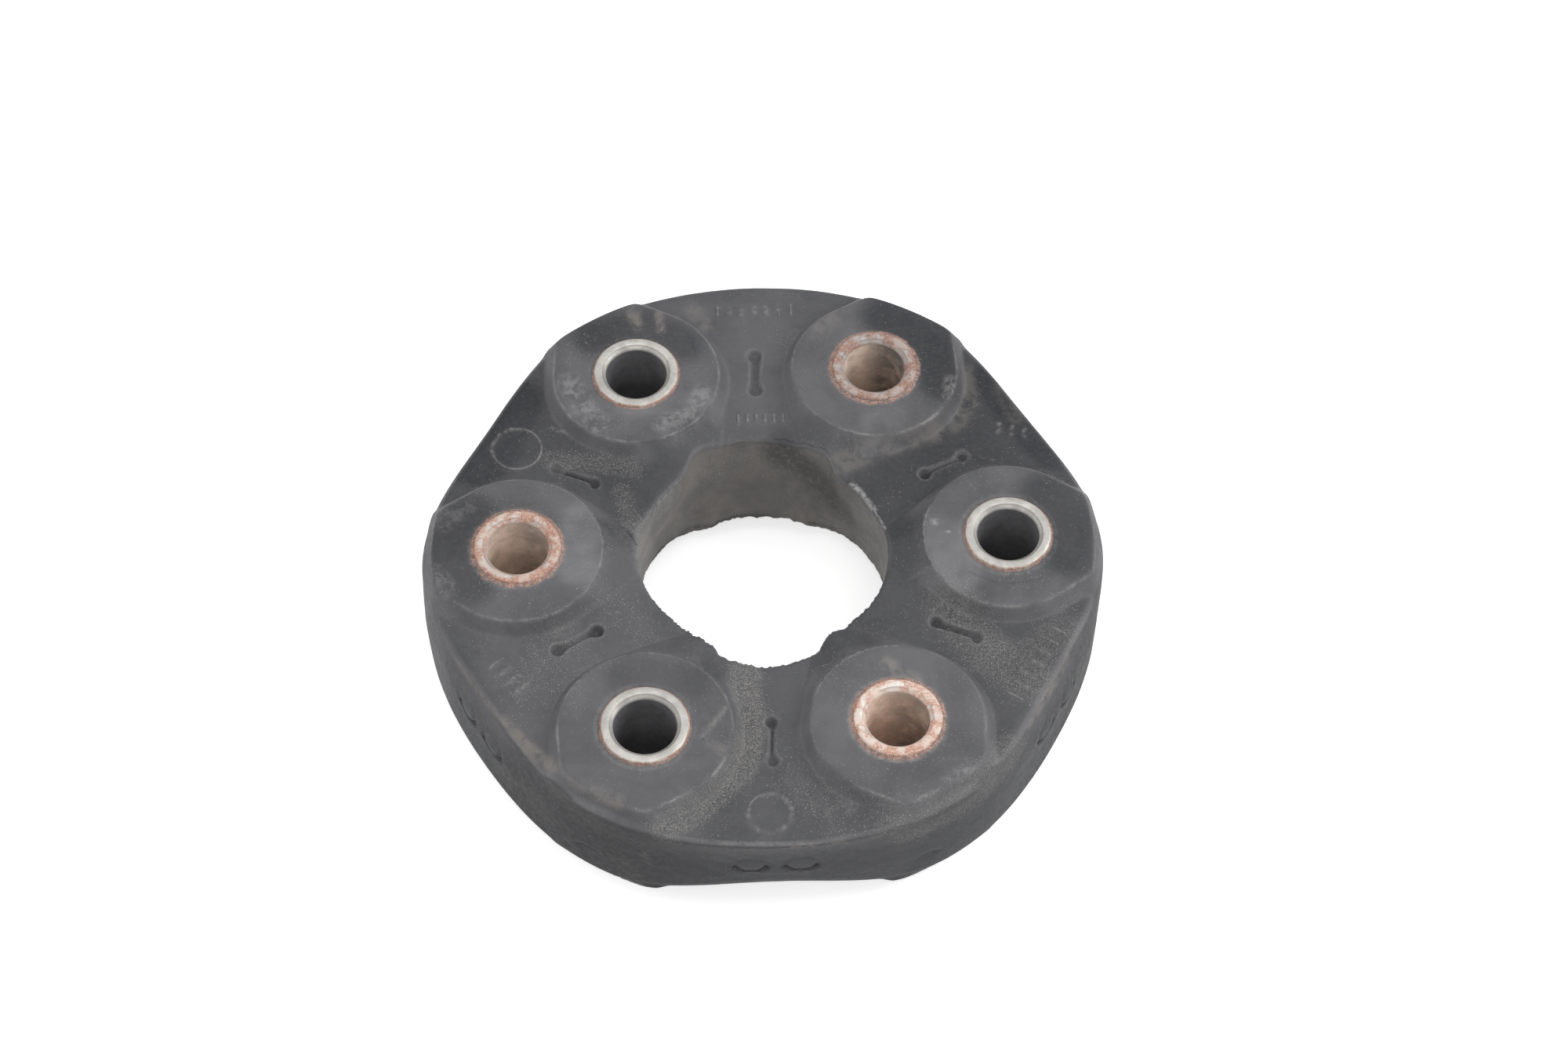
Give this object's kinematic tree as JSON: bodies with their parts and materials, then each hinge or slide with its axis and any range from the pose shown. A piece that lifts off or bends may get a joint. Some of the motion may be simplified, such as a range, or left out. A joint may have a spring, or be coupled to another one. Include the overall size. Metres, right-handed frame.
{
  "type": "flexible propshaft coupling",
  "caption": "Moulded rubber coupling disc with raised pads round steel bolt sleeves, slotted valleys between them and a wide centre hole.",
  "frame": {"origin": "on the shafts' common axis, in the plane of the sleeves' lower ends, which the coupling rests on", "axes": "+Z along the shafts' common axis, up through the coupling; +X through sleeve 1"},
  "size_m": [0.134, 0.1322, 0.0316],
  "materials": {
    "rubber": "dusty matt black rubber",
    "bright_steel": "worn bright steel",
    "rusty_steel": "steel with light orange rust",
    "cord": "wound cord bonded in the rubber"
  },
  "bodies": {
    "root": {"rubber_disc": "rubber", "steel_sleeve_1": "bright_steel", "steel_sleeve_2": "rusty_steel", "steel_sleeve_3": "bright_steel", "steel_sleeve_4": "rusty_steel", "steel_sleeve_5": "bright_steel", "steel_sleeve_6": "rusty_steel", "cord_loop_middle_1": "cord", "cord_loop_middle_2": "cord", "cord_loop_middle_3": "cord", "cord_loop_upper_1": "cord", "cord_loop_upper_2": "cord", "cord_loop_upper_3": "cord", "cord_loop_lower_1": "cord", "cord_loop_lower_2": "cord", "cord_loop_lower_3": "cord"}
  },
  "joints": []
}
